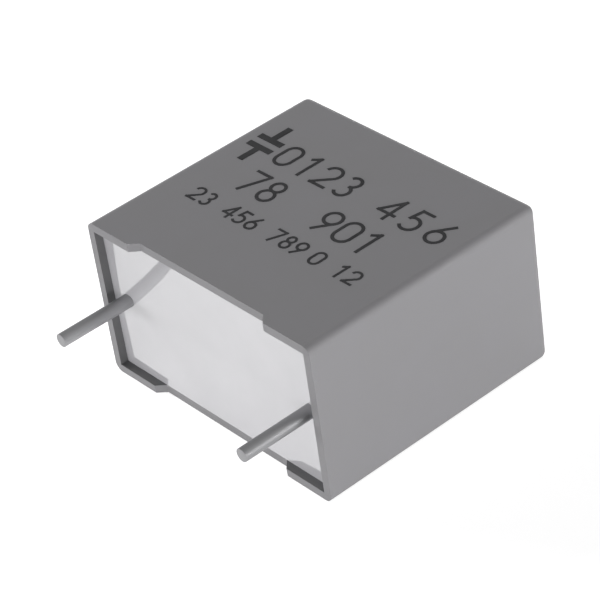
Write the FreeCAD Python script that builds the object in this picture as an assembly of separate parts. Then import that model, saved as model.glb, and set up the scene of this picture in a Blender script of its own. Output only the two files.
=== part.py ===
"""Box film capacitor, lying on one broad face.

X runs along the body's length, from lead to lead. Y runs from the lead tips (low), through the open
side that the resin fills, to the closed top of the case (high). Z is up, across the body's breadth.
The origin is the middle of the whole footprint, on the surface that the part lies on. Millimetres.
"""

import FreeCAD
import Part
import math
import os

# Leads: tinned round wire
lead_pitch = 15.0
lead_diameter = 0.8
lead_length = 4.0  # free wire beyond the feet
lead_past_middle = 0.8  # how far the wire runs past the middle of the roll
lead_weld_sink = 0.15  # how deep the wire is pressed into the contact layer

# Case: one moulded shell, open where the leads come out
case_height = 16.0  # from the feet to the closed top
case_breadth = 10.0
wall = 0.5  # side and end walls, at the rim
roof = 0.5  # closed top
edge_radius = 0.5  # outer edges, apart from the rim
cavity_draft = 0.5  # degrees, on every inner wall
lead_wall_gap = 0.6  # from the wire to the inside of the end wall

# Feet: the long rims are cut back between the corners
foot_length = 3.5  # flat sole along the long side
foot_drop = 0.5  # how far the long rims lie behind the soles
foot_slope = 45.0  # degrees, from the sole up to the cut-back rim

# Resin: cast level with the cut-back rims, then shrunk to a dish
dish_depth = 0.53
dish_flatness_x = 0.57  # 0 falls as a plain parabola towards the end walls, more keeps the middle flat
dish_flatness_z = -0.12  # the same towards the side walls
dish_stations = 13  # points along each side of the dish's net
dish_margin = 0.05  # share by which the net reaches past each wall

# Roll: film wound together and pressed flat, with plain outer turns and sprayed ends
resin_over_roll = 2.4  # from the long rims down to the roll
roll_side_gap = 0.4  # resin between the roll and the side walls
roll_roof_gap = 0.4  # resin between the roll and the closed top
roll_bend_radius = 3.9
cover_thickness = 0.15
spray_thickness = 0.5

# Places that follow from the sizes
lead_radius = lead_diameter / 2
lead_x = lead_pitch / 2
case_half_length = lead_x + lead_radius + lead_wall_gap + wall
tip_y = -(case_height + lead_length) / 2
seat_y = tip_y + lead_length
top_y = seat_y + case_height
rim_y = seat_y + foot_drop
roll_near_y = rim_y + resin_over_roll
axis_z = case_breadth / 2
draft_slope = math.tan(math.radians(cavity_draft))

# A cutting tool reaches this far past what it cuts
overshoot = 1.0


def block(x_span, y_span, z_span):
    """Returns the box between two places on each axis."""
    low = FreeCAD.Vector(x_span[0], y_span[0], z_span[0])
    return Part.makeBox(x_span[1] - x_span[0], y_span[1] - y_span[0], z_span[1] - z_span[0], low)


def runs_along(edge, axis):
    """Tells whether a straight edge is parallel to an axis."""
    direction = edge.Vertexes[-1].Point - edge.Vertexes[0].Point
    return direction.cross(axis).Length < 1e-6


def cavity(near_y):
    """Returns the hollow of the case from a place near the rim to the roof, narrowed by the draft."""
    far_y = top_y - roof
    near_narrowing = draft_slope * (near_y - seat_y)
    far_narrowing = draft_slope * (far_y - seat_y)
    half_x = case_half_length - wall
    half_z = axis_z - wall
    return Part.makeWedge(
        near_narrowing - half_x,
        near_y,
        axis_z - half_z + near_narrowing,
        axis_z - half_z + far_narrowing,
        far_narrowing - half_x,
        half_x - near_narrowing,
        far_y,
        axis_z + half_z - near_narrowing,
        axis_z + half_z - far_narrowing,
        half_x - far_narrowing,
    )


def rim_cutter():
    """Returns the bar that cuts the long rims back between the feet, with sloped ends."""
    run_per_drop = 1 / math.tan(math.radians(foot_slope))
    rim_half = case_half_length - foot_length - foot_drop * run_per_drop
    mouth_half = rim_half + (foot_drop + overshoot) * run_per_drop
    mouth_y = seat_y - overshoot
    profile = [(-rim_half, rim_y), (rim_half, rim_y), (mouth_half, mouth_y), (-mouth_half, mouth_y)]
    corners = [FreeCAD.Vector(x, y, -overshoot) for x, y in profile]
    outline = Part.makePolygon(corners + corners[:1])
    return Part.Face(outline).extrude(FreeCAD.Vector(0, 0, case_breadth + 2 * overshoot))


def make_case():
    """Moulded shell: rounded block, hollowed from the feet, with the long rims cut back."""
    outside = block((-case_half_length, case_half_length), (seat_y, top_y), (0, case_breadth))
    rounded = [edge for edge in outside.Edges if edge.BoundBox.YMax > rim_y]
    outside = outside.makeFillet(edge_radius, rounded)
    return outside.cut(cavity(seat_y - overshoot)).cut(rim_cutter())


def roll_span():
    """Returns the roll's half length and its spans along Y and Z, contact layers left out."""
    far_y = top_y - roof - roll_roof_gap
    side = wall + draft_slope * (far_y - seat_y) + roll_side_gap
    half_length = lead_x - lead_radius + lead_weld_sink - spray_thickness
    return half_length, (roll_near_y, far_y), (side, case_breadth - side)


def flat_roll(x_span, inset=0.0):
    """Returns a stretch of the flattened roll, taken in all round by the inset."""
    _, y_span, z_span = roll_span()
    body = block(
        x_span,
        (y_span[0] + inset, y_span[1] - inset),
        (z_span[0] + inset, z_span[1] - inset),
    )
    narrowest = min(y_span[1] - y_span[0], z_span[1] - z_span[0])
    bend = min(roll_bend_radius, 0.49 * narrowest) - inset
    along = FreeCAD.Vector(1, 0, 0)
    return body.makeFillet(bend, [edge for edge in body.Edges if runs_along(edge, along)])


def make_film_winding():
    """Two metallised films wound together, as one solid."""
    half_length = roll_span()[0]
    return flat_roll((-half_length, half_length), cover_thickness)


def make_cover_film():
    """The plain outer turns, a sleeve round the winding."""
    half_length = roll_span()[0]
    span = (-half_length, half_length)
    return flat_roll(span).cut(flat_roll(span, cover_thickness))


def wire(side, y_span):
    """Returns a straight stretch of one lead's wire; side is -1 or 1."""
    start = FreeCAD.Vector(side * lead_x, y_span[0], axis_z)
    return Part.makeCylinder(lead_radius, y_span[1] - y_span[0], start, FreeCAD.Vector(0, 1, 0))


def make_lead(side):
    """One straight wire: its free end for the board's hole, and the rest up to the end of its weld."""
    near_y, far_y = roll_span()[1]
    weld_end_y = (near_y + far_y) / 2 + lead_past_middle
    return wire(side, (tip_y, seat_y)).fuse(wire(side, (seat_y, weld_end_y)))


def make_end_spray(side):
    """Contact layer on one end of the roll, with the groove that the wire is pressed into."""
    half_length = roll_span()[0]
    faces = sorted((side * half_length, side * (half_length + spray_thickness)))
    return flat_roll(faces).cut(make_lead(side))


def dish_fall(share, flatness):
    """Returns how much of the dish is left at a share of the way from its middle to a wall."""
    return (1 - share**2) * (1 + flatness * share**2)


def dish_point(share_x, share_z):
    """Returns the point of the resin's surface at a share of the way from its middle to each wall."""
    fall = dish_fall(share_x, dish_flatness_x) * dish_fall(share_z, dish_flatness_z)
    x = share_x * (case_half_length - wall)
    z = axis_z + share_z * (axis_z - wall)
    return FreeCAD.Vector(x, rim_y + dish_depth * fall, z)


def dish_tool():
    """Returns the space in front of the dished surface, past the walls on every side."""
    reach = 1 + dish_margin
    shares = [reach * (2 * i / (dish_stations - 1) - 1) for i in range(dish_stations)]
    surface = Part.BSplineSurface()
    surface.interpolate([[dish_point(u, v) for v in shares] for u in shares])
    depth = dish_depth + foot_drop + overshoot
    return surface.toShape().extrude(FreeCAD.Vector(0, -depth, 0))


def make_potting_resin(buried):
    """Cast resin: the case's hollow behind the dish, less everything that it buries."""
    body = cavity(seat_y).cut(dish_tool())
    for piece in buried:
        body = body.cut(piece)
    return body


def main():
    """Builds each piece and writes it as parts/NAME.step."""
    pieces = {
        "film_winding": make_film_winding(),
        "cover_film": make_cover_film(),
        "end_spray_left": make_end_spray(-1),
        "end_spray_right": make_end_spray(1),
        "lead_left": make_lead(-1),
        "lead_right": make_lead(1),
    }
    pieces["potting_resin"] = make_potting_resin(list(pieces.values()))
    pieces["case"] = make_case()
    os.makedirs("parts", exist_ok=True)
    for name, shape in pieces.items():
        shape.exportStep(os.path.join("parts", name + ".step"))
        print(f"{name}: {len(shape.Solids)} solid, {shape.Volume:.3f} mm3, valid {shape.isValid()}")


main()
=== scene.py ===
"""Looks of a box film capacitor that lies on one broad face.

The frame holds the solids. This file makes the finished case, resin, wires and print that are seen,
gives the hidden roll its finishes, and sets the floor, the lamps and the camera.
Sizes of the object and the camera's place are in millimetres, and meshes are scaled to metres when
they are finished. Sizes of the studio are in metres.
"""

import logging
from dataclasses import dataclass, field
from enum import Enum
from math import cos, radians, sin, tan

import bmesh
import bpy
from mathutils import Matrix, Vector


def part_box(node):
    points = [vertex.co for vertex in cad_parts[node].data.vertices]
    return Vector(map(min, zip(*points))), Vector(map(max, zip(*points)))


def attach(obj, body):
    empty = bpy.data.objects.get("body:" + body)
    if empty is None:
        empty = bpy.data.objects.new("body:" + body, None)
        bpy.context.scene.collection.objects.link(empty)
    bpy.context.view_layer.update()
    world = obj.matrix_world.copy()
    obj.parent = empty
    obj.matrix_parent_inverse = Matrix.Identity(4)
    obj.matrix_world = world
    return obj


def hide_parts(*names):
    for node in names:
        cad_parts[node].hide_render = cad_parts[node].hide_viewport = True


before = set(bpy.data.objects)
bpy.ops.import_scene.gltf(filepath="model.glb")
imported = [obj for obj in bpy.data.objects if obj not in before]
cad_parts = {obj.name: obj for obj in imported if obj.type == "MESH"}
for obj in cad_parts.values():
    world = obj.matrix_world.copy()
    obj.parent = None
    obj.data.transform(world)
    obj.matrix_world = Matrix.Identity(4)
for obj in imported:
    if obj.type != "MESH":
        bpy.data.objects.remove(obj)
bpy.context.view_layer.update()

log = logging.getLogger("capacitor")

MM = 0.001
BODY = "root"
TINY = 1e-4
SHARP_DEGREES = 40.0
ARC_STEP_DEGREES = 12.0
ARC_LEAST_STEPS = 4

# The Mix node's sockets share their names, so they are told apart by their places.
MIX_FACTOR = 0
MIX_FLOAT_A, MIX_FLOAT_B = 2, 3
MIX_COLOUR_A, MIX_COLOUR_B = 6, 7
MIX_FLOAT_RESULT, MIX_COLOUR_RESULT = 0, 2

Colour = tuple[float, float, float, float]
Point = tuple[float, float]
Sockets = dict[str, bpy.types.NodeSocket]


class Side(Enum):
    """The two ends of the body."""

    LEFT = -1
    RIGHT = 1


class Join(Enum):
    """What a Boolean step does with the other object."""

    CUT = "DIFFERENCE"
    MERGE = "UNION"


class Rounding(Enum):
    """Which edges of a box are rounded."""

    CLOSED_SIDES = "all but those of the low Y face"
    ALONG_X = "the four that run along X"


def seen(red: int, green: int, blue: int) -> Colour:
    """Turns a colour as a screen shows it into the linear values that a shader takes.

    Args:
        red: Red, 0 to 255.
        green: Green, 0 to 255.
        blue: Blue, 0 to 255.

    Returns:
        The linear colour with an alpha of 1.
    """
    def linear(level: int) -> float:
        """Returns one channel without the screen's curve."""
        value = level / 255
        return value / 12.92 if value <= 0.04045 else ((value + 0.055) / 1.055) ** 2.4

    return (linear(red), linear(green), linear(blue), 1.0)


def span(node: str) -> tuple[Vector, Vector]:
    """Returns the lowest and highest corners of a solid, in millimetres.

    Args:
        node: Name of the solid in the frame.

    Returns:
        The two corners.
    """
    low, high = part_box(node)
    return Vector(low) / MM, Vector(high) / MM


def shade_by_angle(bm: bmesh.types.BMesh) -> None:
    """Shades a mesh smoothly, apart from the edges at which its faces meet at a clear angle.

    Args:
        bm: The mesh.
    """
    for face in bm.faces:
        face.smooth = True
    for edge in bm.edges:
        edge.smooth = edge.calc_face_angle(0.0) < radians(SHARP_DEGREES)


def as_piece(bm: bmesh.types.BMesh, name: str) -> bpy.types.Object:
    """Turns a mesh in millimetres into an object in metres.

    Args:
        bm: The mesh, which is freed.
        name: Name of the new object.

    Returns:
        The new object, at the origin.
    """
    bmesh.ops.scale(bm, vec=(MM, MM, MM), verts=bm.verts)
    shade_by_angle(bm)
    mesh = bpy.data.meshes.new(name)
    bm.to_mesh(mesh)
    bm.free()
    piece = bpy.data.objects.new(name, mesh)
    bpy.context.scene.collection.objects.link(piece)
    return piece


def combine(piece: bpy.types.Object, tools: list[bpy.types.Object], how: Join) -> None:
    """Cuts other objects out of a piece or merges them with it, for good.

    Args:
        piece: The piece, whose own parts may cross when it is merged.
        tools: The other objects.
        how: Whether to cut or to merge.
    """
    for tool in tools:
        step = piece.modifiers.new(how.name.lower(), "BOOLEAN")
        step.operation = how.value
        step.solver = "EXACT"
        step.use_self = how is Join.MERGE
        step.object = tool
    result = piece.evaluated_get(bpy.context.evaluated_depsgraph_get())
    mesh = bpy.data.meshes.new_from_object(result)
    piece.modifiers.clear()
    piece.data = mesh
    bm = bmesh.new()
    bm.from_mesh(mesh)
    shade_by_angle(bm)
    bm.to_mesh(mesh)
    bm.free()


def rounded_block(
    bm: bmesh.types.BMesh, low: Vector, high: Vector, radius: float, segments: int, edges: Rounding
) -> None:
    """Adds a box with rounded edges.

    Args:
        bm: The mesh that takes it.
        low: Lowest corner.
        high: Highest corner.
        radius: Radius of the rounded edges.
        segments: Steps in each rounding.
        edges: Which edges are rounded.
    """
    verts = bmesh.ops.create_cube(bm, size=1.0)["verts"]
    bmesh.ops.scale(bm, vec=high - low, verts=verts)
    bmesh.ops.translate(bm, vec=(low + high) / 2, verts=verts)
    # In the mesh's own order: a set's order changes from run to run, and the bevel follows it.
    around = dict.fromkeys(edge for vert in verts for edge in vert.link_edges)
    if edges is Rounding.CLOSED_SIDES:
        chosen = [e for e in around if max(v.co.y for v in e.verts) > high.y - TINY]
    else:
        chosen = [e for e in around if abs(e.verts[0].co.x - e.verts[1].co.x) > TINY]
    bmesh.ops.bevel(
        bm, geom=chosen, offset=radius, offset_type="OFFSET", segments=segments,
        profile=0.5, affect="EDGES", clamp_overlap=True, material=-1,
    )


def hand_over(piece: bpy.types.Object, node: str = "") -> None:
    """Fixes a piece to the body and hides the solid that it stands for.

    Args:
        piece: The finished piece.
        node: Solid that the piece stands for, if any.
    """
    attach(piece, BODY)
    if node:
        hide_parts(node)
    log.info("%s: %d faces", piece.name, len(piece.data.polygons))


class Board:
    """A node tree with short ways to place and join its nodes."""

    def __init__(self, tree: bpy.types.NodeTree) -> None:
        """Takes over an empty tree.

        Args:
            tree: The tree of a material, a world or a group.
        """
        self.tree = tree

    def add(
        self, kind: str, inputs: dict[str | int, object] | None = None, **properties: object
    ) -> bpy.types.Node:
        """Places a node and sets its properties, then its input values.

        Args:
            kind: The node's type.
            inputs: Values of inputs, by name or place.
            properties: Properties by name.

        Returns:
            The new node.
        """
        node = self.tree.nodes.new(kind)
        for name, value in properties.items():
            setattr(node, name, value)
        for name, value in (inputs or {}).items():
            node.inputs[name].default_value = value
        return node

    def join(self, source: bpy.types.NodeSocket, target: bpy.types.NodeSocket) -> None:
        """Links an output to an input."""
        self.tree.links.new(source, target)

    def place(
        self, group: bpy.types.NodeTree, where: bpy.types.NodeSocket, inputs: dict[str, object]
    ) -> bpy.types.Node:
        """Places a node group and sets its inputs.

        Args:
            group: The group's tree.
            where: Coordinates that the group works on.
            inputs: Values of the other inputs, by name.

        Returns:
            The group node.
        """
        node = self.tree.nodes.new("ShaderNodeGroup")
        node.node_tree = group
        for name, value in inputs.items():
            node.inputs[name].default_value = value
        self.join(where, node.inputs["Coordinate"])
        return node


def new_group(
    name: str, inputs: dict[str, str], outputs: dict[str, str]
) -> tuple[Board, Sockets, Sockets]:
    """Starts a shader node group with named sockets.

    Args:
        name: The group's name.
        inputs: Socket types of the inputs, by name.
        outputs: Socket types of the outputs, by name.

    Returns:
        The group's board, its input sockets and its output sockets, by name.
    """
    tree = bpy.data.node_groups.new(name, "ShaderNodeTree")
    for socket, kind in inputs.items():
        tree.interface.new_socket(socket, in_out="INPUT", socket_type=kind)
    for socket, kind in outputs.items():
        tree.interface.new_socket(socket, in_out="OUTPUT", socket_type=kind)
    board = Board(tree)
    entry = board.add("NodeGroupInput")
    leave = board.add("NodeGroupOutput")
    return board, {s: entry.outputs[s] for s in inputs}, {s: leave.inputs[s] for s in outputs}


class Effects:
    """Node groups that several finishes share, each built once."""

    PIT_SHARE = 0.4

    def __init__(self) -> None:
        """Builds the groups."""
        self.drift = self._drift()
        self.grain = self._grain()

    @staticmethod
    def _drift() -> bpy.types.NodeTree:
        """Slow change of a value over the surface, between two limits.

        Returns:
            The group's tree.
        """
        board, given, out = new_group(
            "slow_drift",
            {"Coordinate": "NodeSocketVector", "Frequency": "NodeSocketFloat",
             "Low": "NodeSocketFloat", "High": "NodeSocketFloat"},
            {"Value": "NodeSocketFloat"},
        )
        noise = board.add("ShaderNodeTexNoise", {"Detail": 3.0, "Roughness": 0.55})
        board.join(given["Coordinate"], noise.inputs["Vector"])
        board.join(given["Frequency"], noise.inputs["Scale"])
        scaled = board.add("ShaderNodeMapRange", {"From Min": 0.3, "From Max": 0.7})
        board.join(noise.outputs["Fac"], scaled.inputs["Value"])
        board.join(given["Low"], scaled.inputs["To Min"])
        board.join(given["High"], scaled.inputs["To Max"])
        board.join(scaled.outputs["Result"], out["Value"])
        return board.tree

    def _grain(self) -> bpy.types.NodeTree:
        """Fine pitted grain, as a spark-eroded mould or a sprayed layer leaves it.

        Returns:
            The group's tree.
        """
        board, given, out = new_group(
            "fine_grain",
            {"Coordinate": "NodeSocketVector", "Frequency": "NodeSocketFloat"},
            {"Height": "NodeSocketFloat"},
        )
        noise = board.add("ShaderNodeTexNoise", {"Detail": 2.0, "Roughness": 0.6})
        pits = board.add("ShaderNodeTexVoronoi", {"Randomness": 1.0})
        for texture in (noise, pits):
            board.join(given["Coordinate"], texture.inputs["Vector"])
            board.join(given["Frequency"], texture.inputs["Scale"])
        blend = board.add("ShaderNodeMix", {MIX_FACTOR: self.PIT_SHARE}, data_type="FLOAT")
        board.join(noise.outputs["Fac"], blend.inputs[MIX_FLOAT_A])
        board.join(pits.outputs["Distance"], blend.inputs[MIX_FLOAT_B])
        board.join(blend.outputs[MIX_FLOAT_RESULT], out["Height"])
        return board.tree


@dataclass(frozen=True)
class Finish:
    """What every finish has: a name, two close tones of its colour and a range of roughness."""

    name: str
    tone_a: Colour
    tone_b: Colour
    rough_low: float
    rough_high: float
    drift_per_mm: float = 0.35
    rough_drift_ratio: float = 1.7

    def start(
        self, effects: Effects
    ) -> tuple[bpy.types.Material, Board, bpy.types.Node, bpy.types.NodeSocket]:
        """Makes the material with its drifting colour and roughness.

        Args:
            effects: The shared node groups.

        Returns:
            The material, its board, its shader node and the socket that gives coordinates.
        """
        material = bpy.data.materials.new(self.name)
        material.use_nodes = True
        material.node_tree.nodes.clear()
        board = Board(material.node_tree)
        output = board.add("ShaderNodeOutputMaterial")
        shader = board.add("ShaderNodeBsdfPrincipled")
        board.join(shader.outputs["BSDF"], output.inputs["Surface"])
        place = board.add("ShaderNodeTexCoord")
        where = place.outputs["Object"]
        frequency = self.drift_per_mm / MM
        tone = board.place(effects.drift, where, {"Frequency": frequency, "Low": 0.0, "High": 1.0})
        rough_frequency = frequency * self.rough_drift_ratio
        rough = board.place(
            effects.drift, where,
            {"Frequency": rough_frequency, "Low": self.rough_low, "High": self.rough_high},
        )
        tones = {MIX_COLOUR_A: self.tone_a, MIX_COLOUR_B: self.tone_b}
        mix = board.add("ShaderNodeMix", tones, data_type="RGBA")
        board.join(tone.outputs["Value"], mix.inputs[MIX_FACTOR])
        board.join(mix.outputs[MIX_COLOUR_RESULT], shader.inputs["Base Color"])
        board.join(rough.outputs["Value"], shader.inputs["Roughness"])
        return material, board, shader, where


def emboss(
    board: Board, height: bpy.types.NodeSocket, shader: bpy.types.Node, depth_um: float
) -> None:
    """Turns a height into bump.

    Args:
        board: The material's board.
        height: The height, from 0 to 1.
        shader: The shader that takes the bumped normal.
        depth_um: What a height of 1 stands for, in thousandths of a millimetre.
    """
    bump = board.add("ShaderNodeBump", {"Strength": 1.0, "Distance": depth_um * MM * MM})
    board.join(height, bump.inputs["Height"])
    board.join(bump.outputs["Normal"], shader.inputs["Normal"])


def stretched(
    board: Board, where: bpy.types.NodeSocket, scale: tuple[float, float, float]
) -> bpy.types.NodeSocket:
    """Stretches coordinates, so that what is drawn with them becomes lines.

    Args:
        board: The material's board.
        where: The coordinates.
        scale: Factor on each axis; less than 1 draws the pattern out.

    Returns:
        The stretched coordinates.
    """
    node = board.add("ShaderNodeMapping", {"Scale": scale}, vector_type="POINT")
    board.join(where, node.inputs["Vector"])
    return node.outputs["Vector"]


@dataclass(frozen=True)
class MouldedPlastic(Finish):
    """Satin thermoplastic with the grain of its mould."""

    grains_per_mm: float = 9.0
    grain_depth_um: float = 3.0

    def make(self, effects: Effects) -> bpy.types.Material:
        """Builds the material.

        Args:
            effects: The shared node groups.

        Returns:
            The material.
        """
        material, board, shader, where = self.start(effects)
        shader.inputs["IOR"].default_value = 1.5
        grain = board.place(effects.grain, where, {"Frequency": self.grains_per_mm / MM})
        emboss(board, grain.outputs["Height"], shader, self.grain_depth_um)
        return material


@dataclass(frozen=True)
class CastResin(Finish):
    """Poured epoxy: opaque, pale, with a hard gloss and a slight unevenness of its surface."""

    mirror_index: float = 3.0
    ripple_per_mm: float = 0.5
    ripple_um: float = 1.5

    def make(self, effects: Effects) -> bpy.types.Material:
        """Builds the material.

        Args:
            effects: The shared node groups.

        Returns:
            The material.
        """
        material, board, shader, where = self.start(effects)
        shader.inputs["IOR"].default_value = self.mirror_index
        ripple = board.place(
            effects.drift, where,
            {"Frequency": self.ripple_per_mm / MM, "Low": 0.0, "High": 1.0},
        )
        emboss(board, ripple.outputs["Value"], shader, self.ripple_um)
        return material


@dataclass(frozen=True)
class DrawnMetal(Finish):
    """Tinned wire with lines drawn along its length, which is Y."""

    lines_per_mm: float = 14.0
    stretch: float = 0.03
    line_depth_um: float = 1.5

    def make(self, effects: Effects) -> bpy.types.Material:
        """Builds the material.

        Args:
            effects: The shared node groups.

        Returns:
            The material.
        """
        material, board, shader, where = self.start(effects)
        shader.inputs["Metallic"].default_value = 1.0
        drawn = stretched(board, where, (1.0, self.stretch, 1.0))
        lines = board.place(effects.grain, drawn, {"Frequency": self.lines_per_mm / MM})
        emboss(board, lines.outputs["Height"], shader, self.line_depth_um)
        return material


@dataclass(frozen=True)
class GrainyMetal(Finish):
    """Metal sprayed on in droplets, matt and granular."""

    grains_per_mm: float = 12.0
    grain_depth_um: float = 25.0

    def make(self, effects: Effects) -> bpy.types.Material:
        """Builds the material.

        Args:
            effects: The shared node groups.

        Returns:
            The material.
        """
        material, board, shader, where = self.start(effects)
        shader.inputs["Metallic"].default_value = 1.0
        grain = board.place(effects.grain, where, {"Frequency": self.grains_per_mm / MM})
        emboss(board, grain.outputs["Height"], shader, self.grain_depth_um)
        return material


@dataclass(frozen=True)
class WoundFilm(Finish):
    """Film wound in many turns: a smooth side with faint lines round the roll."""

    metallic: float = 0.0
    turns_per_mm: float = 20.0
    stretch: float = 0.05
    line_depth_um: float = 2.0

    def make(self, effects: Effects) -> bpy.types.Material:
        """Builds the material.

        Args:
            effects: The shared node groups.

        Returns:
            The material.
        """
        material, board, shader, where = self.start(effects)
        shader.inputs["Metallic"].default_value = self.metallic
        round_roll = stretched(board, where, (1.0, self.stretch, self.stretch))
        lines = board.place(effects.grain, round_roll, {"Frequency": self.turns_per_mm / MM})
        emboss(board, lines.outputs["Height"], shader, self.line_depth_um)
        return material


@dataclass(frozen=True)
class Hollow:
    """Sizes that the moulded case and the resin cast into it share."""

    wall: float = 0.5
    roof: float = 0.5
    foot_drop: float = 0.5
    draft: float = 0.5

    def narrowing(self, depth: float) -> float:
        """Returns how far each inner wall has come in at a depth below the feet."""
        return depth * tan(radians(self.draft))


@dataclass
class CaseShell:
    """The moulded box: five walls in one, corner feet, rounded outer edges."""

    hollow: Hollow
    ink_height: float
    edge_radius: float = 0.5
    edge_segments: int = 8
    foot_length: float = 3.5
    foot_slope: float = 45.0
    weld_distance: float = 0.05
    rim_softness: float = 0.01
    rim_segments: int = 2
    rim_sharpness: float = 50.0
    rim_facing: float = 0.3
    low: Vector = field(default_factory=lambda: span("case")[0])
    high: Vector = field(default_factory=lambda: span("case")[1])

    def build(self) -> bpy.types.Object:
        """Builds the shell, with its marked face lower by the height of the ink.

        Returns:
            The new piece.
        """
        bm = bmesh.new()
        marked = self.high - Vector((0, 0, self.ink_height))
        rounded_block(
            bm, self.low, marked, self.edge_radius, self.edge_segments, Rounding.CLOSED_SIDES
        )
        self._hollow(bm)
        self._cut_rims(bm)
        self._soften_rim(bm)
        bmesh.ops.recalc_face_normals(bm, faces=bm.faces)
        return as_piece(bm, "case_shell")

    def _hollow(self, bm: bmesh.types.BMesh) -> None:
        """Insets the open side by the wall and sinks what is inside it to the roof.

        Args:
            bm: The rounded block.
        """
        mouth = [f for f in bm.faces if f.normal.y < -1 + TINY]
        bmesh.ops.inset_region(bm, faces=mouth, thickness=self.hollow.wall, use_even_offset=True)
        # In the mesh's own order too, so that each run welds its corners alike.
        inner = list(dict.fromkeys(v for f in mouth for v in f.verts))
        bmesh.ops.remove_doubles(bm, verts=inner, dist=self.weld_distance)
        for x in self._foot_marks():
            geometry = bm.verts[:] + bm.edges[:] + bm.faces[:]
            bmesh.ops.bisect_plane(bm, geom=geometry, dist=TINY, plane_co=(x, 0, 0), plane_no=(1, 0, 0))
        mouth = [f for f in bm.faces if f.normal.y < -1 + TINY and self._is_inside(f)]
        made = bmesh.ops.extrude_face_region(bm, geom=mouth)["geom"]
        bmesh.ops.delete(bm, geom=mouth, context="FACES")
        floor = [v for v in made if isinstance(v, bmesh.types.BMVert)]
        depth = self.high.y - self.hollow.roof - self.low.y
        narrowing = self.hollow.narrowing(depth)
        middle = (self.low + self.high) / 2
        for vert in floor:
            vert.co.y += depth
            half = Vector((abs(vert.co.x - middle.x), 0, abs(vert.co.z - middle.z)))
            if half.x > self.high.x - 2 * self.hollow.wall:
                vert.co.x *= 1 - narrowing / half.x
            vert.co.z = middle.z + (vert.co.z - middle.z) * (1 - narrowing / half.z)

    def _is_inside(self, face: bmesh.types.BMFace) -> bool:
        """Tells whether a face of the open side lies within the walls.

        Args:
            face: The face.

        Returns:
            True within the walls, False on their rim.
        """
        centre = face.calc_center_median()
        edge = self.hollow.wall + TINY
        return (
            abs(centre.x) < self.high.x - edge
            and self.low.z + edge < centre.z < self.high.z - edge
        )

    def _foot_marks(self) -> tuple[float, float, float, float]:
        """Works out the foot's places along X.

        Returns:
            Where a sole ends and where the cut-back rim starts, on both sides, in rising order.
        """
        sole = self.high.x - self.foot_length
        rim = sole - self.hollow.foot_drop / tan(radians(self.foot_slope))
        return (-sole, -rim, rim, sole)

    def _cut_rims(self, bm: bmesh.types.BMesh) -> None:
        """Moves the long rims back between the feet.

        Args:
            bm: The hollowed block.
        """
        rim_half = self._foot_marks()[2] + TINY
        for vert in bm.verts:
            if abs(vert.co.x) < rim_half and vert.co.y < self.low.y + TINY:
                vert.co.y += self.hollow.foot_drop

    def _soften_rim(self, bm: bmesh.types.BMesh) -> None:
        """Takes the sharpness off the rim's edges.

        Args:
            bm: The case with its feet.
        """
        near = self.low.y + self.hollow.foot_drop + TINY
        sharp = radians(self.rim_sharpness)
        edges = [
            e for e in bm.edges
            if max(v.co.y for v in e.verts) < near and e.calc_face_angle_signed(0.0) > sharp
        ]
        bmesh.ops.bevel(
            bm, geom=edges, offset=self.rim_softness, offset_type="OFFSET", segments=self.rim_segments,
            profile=0.5, affect="EDGES", clamp_overlap=True, material=-1,
        )

    def dress(
        self, piece: bpy.types.Object, outside: bpy.types.Material, inside: bpy.types.Material
    ) -> None:
        """Gives the outside its finish, and the walls within the mouth the same plastic darker, as
        painted shade.

        Args:
            piece: The shell.
            outside: Finish of everything that the mould's outer half shaped.
            inside: The case plastic in a darker tone, painted shade for the hollow's walls.
        """
        piece.data.materials.append(outside)
        piece.data.materials.append(inside)
        rim = self.hollow.wall - self.rim_softness
        half_x = (self.high.x - rim) * MM
        low_z = (self.low.z + rim) * MM
        high_z = (self.high.z - rim) * MM
        roof_y = (self.high.y - self.hollow.roof / 2) * MM
        # The walls within the mouth take the darker tone: painted shade for the recess, not a finish of
        # their own.
        for face in piece.data.polygons:
            centre = face.center
            within = abs(centre.x) < half_x and low_z < centre.z < high_z
            facing_out = face.normal.y < -self.rim_facing or centre.y > roof_y
            face.material_index = 1 if within and not facing_out else 0
        weigh = piece.modifiers.new("even_shading", "WEIGHTED_NORMAL")
        weigh.keep_sharp = True


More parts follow.
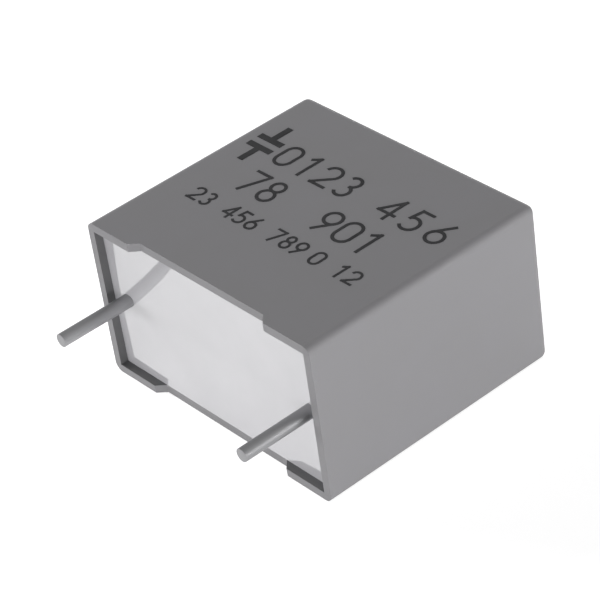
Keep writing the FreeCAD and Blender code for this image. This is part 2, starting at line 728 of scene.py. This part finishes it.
@dataclass
class ResinFill:
    """The cast resin: a dished face between the walls, and the body round the roll."""

    hollow: Hollow
    dish_depth: float = 0.53
    dish_flatness_x: float = 0.57
    dish_flatness_z: float = -0.12
    columns: int = 120
    rows: int = 66
    roll_bend_radius: float = 3.9
    roll_bend_segments: int = 10

    def _fall(self, share: float, flatness: float) -> float:
        """Returns how much of the dish is left at a share of the way from its middle to a wall."""
        return (1 - share**2) * (1 + flatness * share**2)

    def build(self, wires: list[bpy.types.Object]) -> bpy.types.Object:
        """Builds the resin with the hollow that the roll fills and the holes of the wires.

        Args:
            wires: The two leads, which the resin is cast round.

        Returns:
            The new piece.
        """
        low, high = span("case")
        half_x = high.x - self.hollow.wall
        middle_z = (low.z + high.z) / 2
        half_z = middle_z - self.hollow.wall
        rim_y = low.y + self.hollow.foot_drop
        bm = bmesh.new()
        bmesh.ops.create_grid(bm, x_segments=self.columns, y_segments=self.rows, size=1.0)
        for vert in bm.verts:
            across, up = vert.co.x, vert.co.y
            fall = self._fall(across, self.dish_flatness_x) * self._fall(up, self.dish_flatness_z)
            vert.co = (across * half_x, rim_y + self.dish_depth * fall, middle_z + up * half_z)
        border = [e for e in bm.edges if e.is_boundary]
        made = bmesh.ops.extrude_edge_only(bm, edges=border)["geom"]
        far_y = high.y - self.hollow.roof
        narrowing = self.hollow.narrowing(far_y - low.y)
        for vert in (v for v in made if isinstance(v, bmesh.types.BMVert)):
            vert.co.x *= 1 - narrowing / half_x
            vert.co.z = middle_z + (vert.co.z - middle_z) * (1 - narrowing / half_z)
            vert.co.y = far_y
        back = [e for e in made if isinstance(e, bmesh.types.BMEdge) and e.is_boundary]
        bmesh.ops.contextual_create(bm, geom=back)
        bmesh.ops.recalc_face_normals(bm, faces=bm.faces)
        self._leave_hollow(bm)
        piece = as_piece(bm, "resin_fill")
        combine(piece, wires, Join.CUT)
        return piece

    def _leave_hollow(self, bm: bmesh.types.BMesh) -> None:
        """Adds the inside-out surface of the roll with its contact layers.

        Args:
            bm: The resin's outer surface.
        """
        solid = set(bm.faces)
        low = span("end_spray_left")[0]
        high = span("end_spray_right")[1]
        rounded_block(
            bm, low, high, self.roll_bend_radius, self.roll_bend_segments, Rounding.ALONG_X
        )
        hollow = [f for f in bm.faces if f not in solid]
        bmesh.ops.recalc_face_normals(bm, faces=hollow)
        bmesh.ops.reverse_faces(bm, faces=hollow)

    def dress(self, piece: bpy.types.Object, resin: bpy.types.Material) -> None:
        """Gives the resin its finish."""
        piece.data.materials.clear()
        piece.data.materials.append(resin)


@dataclass
class LeadWire:
    """One straight tinned wire with sheared ends."""

    side: Side
    segments: int = 64
    end_softness: float = 0.03
    end_segments: int = 3

    def build(self) -> bpy.types.Object:
        """Builds the wire along Y.

        Returns:
            The new piece.
        """
        node = f"lead_{self.side.name.lower()}"
        low, high = span(node)
        bm = bmesh.new()
        radius = (high.z - low.z) / 2
        bmesh.ops.create_cone(
            bm, cap_ends=True, segments=self.segments, radius1=radius, radius2=radius,
            depth=high.y - low.y,
        )
        bmesh.ops.rotate(bm, verts=bm.verts, matrix=Matrix.Rotation(radians(90), 3, "X"))
        bmesh.ops.translate(bm, verts=bm.verts, vec=(low + high) / 2)
        rims = [e for e in bm.edges if abs(e.verts[0].co.y - e.verts[1].co.y) < TINY]
        bmesh.ops.bevel(
            bm, geom=rims, offset=self.end_softness, offset_type="OFFSET", segments=self.end_segments,
            profile=0.5, affect="EDGES", clamp_overlap=True, material=-1,
        )
        return as_piece(bm, f"wire_{self.side.name.lower()}")

    def dress(self, piece: bpy.types.Object, tin: bpy.types.Material) -> None:
        """Gives the wire its finish."""
        piece.data.materials.append(tin)


@dataclass(frozen=True)
class Line:
    """A straight stroke, in shares of a figure's height."""

    start: Point
    end: Point

    def draw(self, bm: bmesh.types.BMesh, width: float) -> None:
        """Draws the stroke as a flat ribbon.

        Args:
            bm: The mesh that takes it.
            width: Width of the stroke.
        """
        start, end = Vector((*self.start, 0)), Vector((*self.end, 0))
        along = (end - start).normalized()
        across = Vector((-along.y, along.x, 0)) * width / 2
        start, end = start - along * width / 2, end + along * width / 2
        corners = (start + across, start - across, end - across, end + across)
        bmesh.ops.contextual_create(bm, geom=[bm.verts.new(c) for c in corners])


@dataclass(frozen=True)
class Arc:
    """A stroke along a circle, in shares of a figure's height and degrees from +X."""

    centre: Point
    radius: float
    start: float
    sweep: float

    def draw(self, bm: bmesh.types.BMesh, width: float) -> None:
        """Draws the stroke by turning a short edge about the centre.

        Args:
            bm: The mesh that takes it.
            width: Width of the stroke.
        """
        centre = Vector((*self.centre, 0))
        ray = Vector((cos(radians(self.start)), sin(radians(self.start)), 0))
        ends = [bm.verts.new(centre + ray * (self.radius + s * width / 2)) for s in (-1, 1)]
        edge = bm.edges.new(ends)
        steps = max(ARC_LEAST_STEPS, round(abs(self.sweep) / ARC_STEP_DEGREES))
        bmesh.ops.spin(
            bm, geom=[*ends, edge], cent=centre, axis=(0, 0, 1), angle=radians(self.sweep),
            steps=steps, use_merge=False, use_duplicate=False,
        )


HALF = 0.3
FIGURES: dict[str, tuple[Line | Arc, ...]] = {
    "0": (
        Arc((HALF, 1 - HALF), HALF, 0, 180),
        Arc((HALF, HALF), HALF, 180, 180),
        Line((0, HALF), (0, 1 - HALF)),
        Line((2 * HALF, HALF), (2 * HALF, 1 - HALF)),
    ),
    "1": (Line((0.36, 0), (0.36, 1)), Line((0.14, 0.84), (0.36, 1))),
    "2": (
        Arc((HALF, 1 - HALF), HALF, 170, -205),
        Line((0.54, 0.52), (0.02, 0)),
        Line((0.02, 0), (0.6, 0)),
    ),
    "3": (Arc((0.28, 0.76), 0.24, 150, -240), Arc((0.28, 0.26), 0.26, 90, -240)),
    "4": (
        Line((0.46, 1), (0, 0.28)),
        Line((0, 0.28), (0.64, 0.28)),
        Line((0.46, 0), (0.46, 1)),
    ),
    "5": (
        Line((0.14, 1), (0.56, 1)),
        Line((0.14, 1), (0.06, 0.54)),
        Arc((0.26, 0.31), 0.31, 132, -275),
    ),
    "6": (Arc((0.29, 0.29), 0.29, 0, 360), Line((0.46, 1), (0.05, 0.44))),
    "7": (Line((0, 1), (0.58, 1)), Line((0.58, 1), (0.18, 0))),
    "8": (Arc((HALF, 0.77), 0.23, 0, 360), Arc((HALF, 0.27), 0.27, 0, 360)),
    "9": (Arc((0.29, 0.71), 0.29, 0, 360), Line((0.12, 0), (0.53, 0.56))),
    " ": (),
}


@dataclass(frozen=True)
class PrintRow:
    """A row of plain figures on the marked face, in groups that each have a start and a pitch."""

    name: str
    groups: tuple[tuple[float, float, str], ...]
    baseline: float
    height: float
    stroke: float

    def build(self, low: Vector, top: float, thickness: float) -> bpy.types.Object:
        """Builds the row.

        Args:
            low: Corner of the marked face from which starts and baseline count.
            top: Level of the print's top.
            thickness: Thickness of the ink.

        Returns:
            The new piece.
        """
        placed = []
        for start, pitch, figures in self.groups:
            for place, figure in enumerate(figures):
                corner = Vector((low.x + start + place * pitch, low.y + self.baseline))
                placed += [(stroke, corner) for stroke in FIGURES[figure]]
        return ink_piece(placed, self.height, self.stroke, self.name, top, thickness)


@dataclass(frozen=True)
class PrintSymbol:
    """The plain circuit sign of a capacitor: two plates, one above the other, with a wire to each."""

    name: str = "print_symbol"
    left: float = 1.08
    bottom: float = 9.14
    width: float = 1.9
    height: float = 3.8
    stroke: float = 0.42

    def build(self, low: Vector, top: float, thickness: float) -> bpy.types.Object:
        """Builds the sign.

        Args:
            low: Corner of the marked face from which left and bottom count.
            top: Level of the print's top.
            thickness: Thickness of the ink.

        Returns:
            The new piece.
        """
        reach = (self.width - self.stroke) / 2
        middle = Vector((low.x + self.left + self.width / 2, low.y + self.bottom + self.height / 2))
        placed = []
        for side in Side:
            plate_y = side.value * self.stroke
            end_y = side.value * (self.height - self.stroke) / 2
            placed.append((Line((-reach, plate_y), (reach, plate_y)), middle))
            placed.append((Line((0, plate_y), (0, end_y)), middle))
        return ink_piece(placed, 1.0, self.stroke, self.name, top, thickness)


def ink_piece(
    placed: list[tuple[Line | Arc, Vector]],
    size: float,
    width: float,
    name: str,
    top: float,
    thickness: float,
) -> bpy.types.Object:
    """Draws strokes, gives them the thickness of ink and merges them where they cross.

    Args:
        placed: The strokes, each with the place of its origin on the face.
        size: Length that a stroke's 1 stands for.
        width: Width of the strokes.
        name: Name of the new object.
        top: Level of the ink's top.
        thickness: Thickness of the ink.

    Returns:
        The new piece.
    """
    halves = []
    for part in (placed[0::2], placed[1::2]):
        bm = bmesh.new()
        for stroke, corner in part:
            before = set(bm.verts)
            stroke.draw(bm, width / size)
            new = [v for v in bm.verts if v not in before]
            bmesh.ops.remove_doubles(bm, verts=new, dist=TINY)
            new = [v for v in bm.verts if v not in before]
            bmesh.ops.scale(bm, verts=new, vec=(size, size, 1))
            bmesh.ops.translate(bm, verts=new, vec=(*corner, top - thickness))
        made = bmesh.ops.extrude_face_region(bm, geom=bm.faces[:])["geom"]
        upper = [v for v in made if isinstance(v, bmesh.types.BMVert)]
        bmesh.ops.translate(bm, verts=upper, vec=(0, 0, thickness))
        bmesh.ops.recalc_face_normals(bm, faces=bm.faces)
        halves.append(as_piece(bm, name))
    piece, other = halves
    combine(piece, [other], Join.MERGE)
    bpy.data.objects.remove(other)
    return piece


@dataclass
class Marking:
    """The print on the broad face: a plain circuit sign and rows of counting figures."""

    ink_height: float = 0.015
    ink_sunk: float = 0.005
    symbol: PrintSymbol = PrintSymbol()
    rows: tuple[PrintRow, ...] = (
        PrintRow("print_row_1", ((3.5, 1.62, "0123"), (11.7, 1.85, "456")), 10.1, 1.8, 0.2),
        PrintRow("print_row_2", ((3.84, 1.54, "78"), (9.96, 1.52, "901")), 7.17, 1.83, 0.2),
        PrintRow(
            "print_row_3",
            ((2.45, 0.93, "23 456 789"), (12.2, 0.93, "0"), (14.0, 0.93, "12")),
            4.98, 1.05, 0.15,
        ),
    )

    def build(self) -> list[bpy.types.Object]:
        """Builds the sign and the rows.

        Returns:
            The new pieces.
        """
        low, high = span("case")
        thickness = self.ink_height + self.ink_sunk
        return [part.build(low, high.z, thickness) for part in (self.symbol, *self.rows)]

    def dress(self, pieces: list[bpy.types.Object], ink: bpy.types.Material) -> None:
        """Gives the print its ink."""
        for piece in pieces:
            piece.data.materials.append(ink)


@dataclass
class Roll:
    """The hidden roll, whose solids stay as they are and get finishes."""

    winding: str = "film_winding"
    cover: str = "cover_film"
    ends: tuple[str, str] = ("end_spray_left", "end_spray_right")

    def dress(
        self, film: bpy.types.Material, clear: bpy.types.Material, zinc: bpy.types.Material
    ) -> None:
        """Gives each hidden solid its finish.

        Args:
            film: Finish of the metallised turns.
            clear: Finish of the plain outer turns.
            zinc: Finish of the contact layers.
        """
        finishes = {self.winding: film, self.cover: clear, **dict.fromkeys(self.ends, zinc)}
        for node, material in finishes.items():
            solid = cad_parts[node]
            if not solid.material_slots:
                solid.data.materials.append(material)
            for slot in solid.material_slots:
                slot.material = material
            log.info("%s: finished as %s", node, material.name)


@dataclass
class Studio:
    """Pale floor, soft sky and area lamps."""

    floor_half: float = 3.0
    floor_drop_mm: float = 0.02
    floor_colour: Colour = (0.7, 0.7, 0.7, 1.0)
    floor_glow: float = 0.84
    mirror_glow: float = 0.65
    sky_share: float = 0.2
    sky_level: float = 0.705
    sky_change: tuple[float, float, float] = (0.15, 0.0, -0.25)
    horizon_glow: float = 0.35
    horizon_height: float = 0.4
    lamp_distance: float = 1.2
    lamp_width: float = 1.0

    def build(self) -> None:
        """Builds the floor, the sky and the lamps."""
        self._floor()
        self._sky()
        self._lamp("right", azimuth=95.0, elevation=2.0, height=0.08, watts=12.0)
        self._lamp("front", azimuth=0.0, elevation=6.0, height=0.16, watts=7.6)
        self._lamp("left", azimuth=270.0, elevation=29.0, height=0.4, watts=13.2)
        self._lamp("back", azimuth=215.0, elevation=2.0, height=0.08, watts=5.6)
        self._lamp("gleam", azimuth=118.0, elevation=3.0, height=0.2, watts=2.0, mirrored=True)

    def _floor(self) -> None:
        """Builds a matt floor that glows to the camera and to mirrors, so it is white with a shadow."""
        bm = bmesh.new()
        bmesh.ops.create_grid(bm, x_segments=1, y_segments=1, size=self.floor_half)
        bmesh.ops.translate(bm, verts=bm.verts, vec=(0, 0, -self.floor_drop_mm * MM))
        mesh = bpy.data.meshes.new("floor")
        bm.to_mesh(mesh)
        bm.free()
        floor = bpy.data.objects.new("floor", mesh)
        bpy.context.scene.collection.objects.link(floor)
        material = bpy.data.materials.new("studio_floor")
        material.use_nodes = True
        material.node_tree.nodes.clear()
        board = Board(material.node_tree)
        output = board.add("ShaderNodeOutputMaterial")
        matt = board.add("ShaderNodeBsdfDiffuse", {"Color": self.floor_colour})
        glow = board.add("ShaderNodeEmission")
        both = board.add("ShaderNodeAddShader")
        rays = board.add("ShaderNodeLightPath")
        shown = board.add("ShaderNodeMath", {1: self.floor_glow}, operation="MULTIPLY")
        total = board.add("ShaderNodeMath", {1: self.mirror_glow}, operation="MULTIPLY_ADD")
        board.join(rays.outputs["Is Camera Ray"], shown.inputs[0])
        board.join(self._mirrored(board, rays), total.inputs[0])
        board.join(shown.outputs[0], total.inputs[2])
        board.join(total.outputs[0], glow.inputs["Strength"])
        board.join(matt.outputs[0], both.inputs[0])
        board.join(glow.outputs[0], both.inputs[1])
        board.join(both.outputs[0], output.inputs["Surface"])
        mesh.materials.append(material)

    @staticmethod
    def _mirrored(board: Board, rays: bpy.types.Node) -> bpy.types.NodeSocket:
        """Tells the rays that mirrors and glass send out from all others.

        Args:
            board: The board of a material or of the world.
            rays: The light path node on that board.

        Returns:
            A socket that gives 1 for those rays and 0 for others.
        """
        either = board.add("ShaderNodeMath", operation="MAXIMUM")
        board.join(rays.outputs["Is Glossy Ray"], either.inputs[0])
        board.join(rays.outputs["Is Transmission Ray"], either.inputs[1])
        return either.outputs[0]

    def _sky(self) -> None:
        """Builds the sky, brighter at the horizon and to the right.

        The camera and mirrors see it whole, and matt surfaces get a share of its light.
        """
        world = bpy.data.worlds.new("sky")
        world.use_nodes = True
        world.node_tree.nodes.clear()
        board = Board(world.node_tree)
        output = board.add("ShaderNodeOutputWorld")
        light = board.add("ShaderNodeBackground", {"Color": (1.0, 1.0, 1.0, 1.0)})
        direction = board.add("ShaderNodeTexCoord")
        change = board.add("ShaderNodeVectorMath", {1: self.sky_change}, operation="DOT_PRODUCT")
        level = board.add("ShaderNodeMath", {1: self.sky_level}, operation="ADD")
        split = board.add("ShaderNodeSeparateXYZ")
        glow = board.add(
            "ShaderNodeMapRange",
            {"From Max": self.horizon_height, "To Min": self.horizon_glow, "To Max": 0.0},
            interpolation_type="SMOOTHSTEP",
        )
        total = board.add("ShaderNodeMath", operation="ADD")
        rays = board.add("ShaderNodeLightPath")
        shown = board.add("ShaderNodeMath", operation="MAXIMUM")
        share = board.add("ShaderNodeMapRange", {"To Min": self.sky_share, "To Max": 1.0})
        strength = board.add("ShaderNodeMath", operation="MULTIPLY")
        board.join(direction.outputs["Generated"], change.inputs[0])
        board.join(change.outputs["Value"], level.inputs[0])
        board.join(direction.outputs["Generated"], split.inputs[0])
        board.join(split.outputs["Z"], glow.inputs["Value"])
        board.join(level.outputs[0], total.inputs[0])
        board.join(glow.outputs["Result"], total.inputs[1])
        board.join(rays.outputs["Is Camera Ray"], shown.inputs[0])
        board.join(self._mirrored(board, rays), shown.inputs[1])
        board.join(shown.outputs[0], share.inputs["Value"])
        board.join(total.outputs[0], strength.inputs[0])
        board.join(share.outputs["Result"], strength.inputs[1])
        board.join(strength.outputs[0], light.inputs["Strength"])
        board.join(light.outputs[0], output.inputs["Surface"])
        bpy.context.scene.world = world

    def _lamp(
        self,
        name: str,
        azimuth: float,
        elevation: float,
        height: float,
        watts: float,
        mirrored: bool = False,
    ) -> None:
        """Places an oblong lamp that looks at the origin.

        Args:
            name: Name of the lamp.
            azimuth: Degrees from the side of the leads towards +X.
            elevation: Degrees above the floor.
            height: Short side of the lamp, in metres.
            watts: Power.
            mirrored: Whether it only shows in bright surfaces; otherwise it lights and doesn't show.
        """
        data = bpy.data.lights.new(name, "AREA")
        data.shape = "RECTANGLE"
        data.size = self.lamp_width
        data.size_y = height
        data.energy = watts
        lamp = bpy.data.objects.new(name, data)
        turn = aimed(azimuth, elevation, 0.0)
        place = turn @ Vector((0, 0, self.lamp_distance))
        lamp.matrix_world = Matrix.Translation(place) @ turn.to_4x4()
        lamp.visible_camera = False
        lamp.visible_glossy = mirrored
        lamp.visible_diffuse = not mirrored
        bpy.context.scene.collection.objects.link(lamp)


def aimed(azimuth: float, elevation: float, roll: float) -> Matrix:
    """Returns the turn of a lamp or camera that looks back along its own +Z.

    Args:
        azimuth: Degrees from the side of the leads towards +X.
        elevation: Degrees above the floor.
        roll: Degrees about the line of sight.

    Returns:
        The 3 by 3 turn.
    """
    return (
        Matrix.Rotation(radians(azimuth), 3, "Z")
        @ Matrix.Rotation(radians(90 - elevation), 3, "X")
        @ Matrix.Rotation(radians(roll), 3, "Z")
    )


@dataclass
class PhotoCamera:
    """The camera at the photograph's place, worked out from the body's straight edges."""

    azimuth: float = 53.504
    elevation: float = 35.525
    roll: float = -8.735
    distance: float = 142.397
    aim: tuple[float, float, float] = (-0.468, 0.951, 4.653)
    focal_pixels: float = 2641.56
    picture_pixels: float = 600.0
    sensor: float = 36.0
    clip_near: float = 10.0

    def build(self) -> None:
        """Creates the camera and makes it the scene's own."""
        data = bpy.data.cameras.new("photo_camera")
        data.sensor_width = self.sensor
        data.lens = self.focal_pixels * self.sensor / self.picture_pixels
        data.clip_start = self.clip_near * MM
        camera = bpy.data.objects.new("photo_camera", data)
        turn = aimed(self.azimuth, self.elevation, self.roll)
        place = Vector(self.aim) * MM + turn @ Vector((0, 0, self.distance * MM))
        camera.matrix_world = Matrix.Translation(place) @ turn.to_4x4()
        bpy.context.scene.collection.objects.link(camera)
        bpy.context.scene.camera = camera


def main() -> None:
    """Builds and dresses the pieces in order, then the studio and the camera."""
    logging.basicConfig(level=logging.INFO, format="%(name)s %(message)s")
    bpy.context.scene.view_settings.view_transform = "Standard"
    effects = Effects()

    hollow = Hollow()
    marking = Marking()

    case = CaseShell(hollow, marking.ink_height)
    shell = case.build()
    outside = MouldedPlastic("case_plastic", seen(143, 142, 144), seen(144, 143, 146), 0.5, 0.55)
    # The case plastic darkened for the hollow's walls: painted shade for the recess.
    inside = MouldedPlastic("case_inside_painted_shade", seen(100, 100, 101), seen(105, 105, 106), 0.5, 0.6)
    case.dress(shell, outside.make(effects), inside.make(effects))
    hand_over(shell, "case")

    tin = DrawnMetal("tinned_wire", seen(163, 163, 165), seen(171, 171, 173), 0.42, 0.5).make(effects)
    wires = []
    for side in Side:
        lead = LeadWire(side)
        wire = lead.build()
        lead.dress(wire, tin)
        hand_over(wire, f"lead_{side.name.lower()}")
        wires.append(wire)

    resin = ResinFill(hollow)
    fill = resin.build(wires)
    epoxy = CastResin("cast_resin", seen(201, 200, 204), seen(205, 204, 208), 0.04, 0.07)
    resin.dress(fill, epoxy.make(effects))
    hand_over(fill, "potting_resin")

    prints = marking.build()
    ink = MouldedPlastic("print_ink", seen(34, 34, 36), seen(46, 46, 48), 0.5, 0.65, grain_depth_um=2.0)
    marking.dress(prints, ink.make(effects))
    for piece in prints:
        hand_over(piece)

    film = WoundFilm("metallised_film", seen(190, 193, 196), seen(205, 208, 211), 0.2, 0.3, metallic=0.8)
    clear = WoundFilm("plain_film", seen(214, 217, 220), seen(224, 227, 229), 0.12, 0.2)
    zinc = GrainyMetal("sprayed_zinc", seen(140, 142, 146), seen(164, 166, 170), 0.55, 0.75)
    Roll().dress(film.make(effects), clear.make(effects), zinc.make(effects))

    Studio().build()
    PhotoCamera().build()


if __name__ == "__main__":
    main()
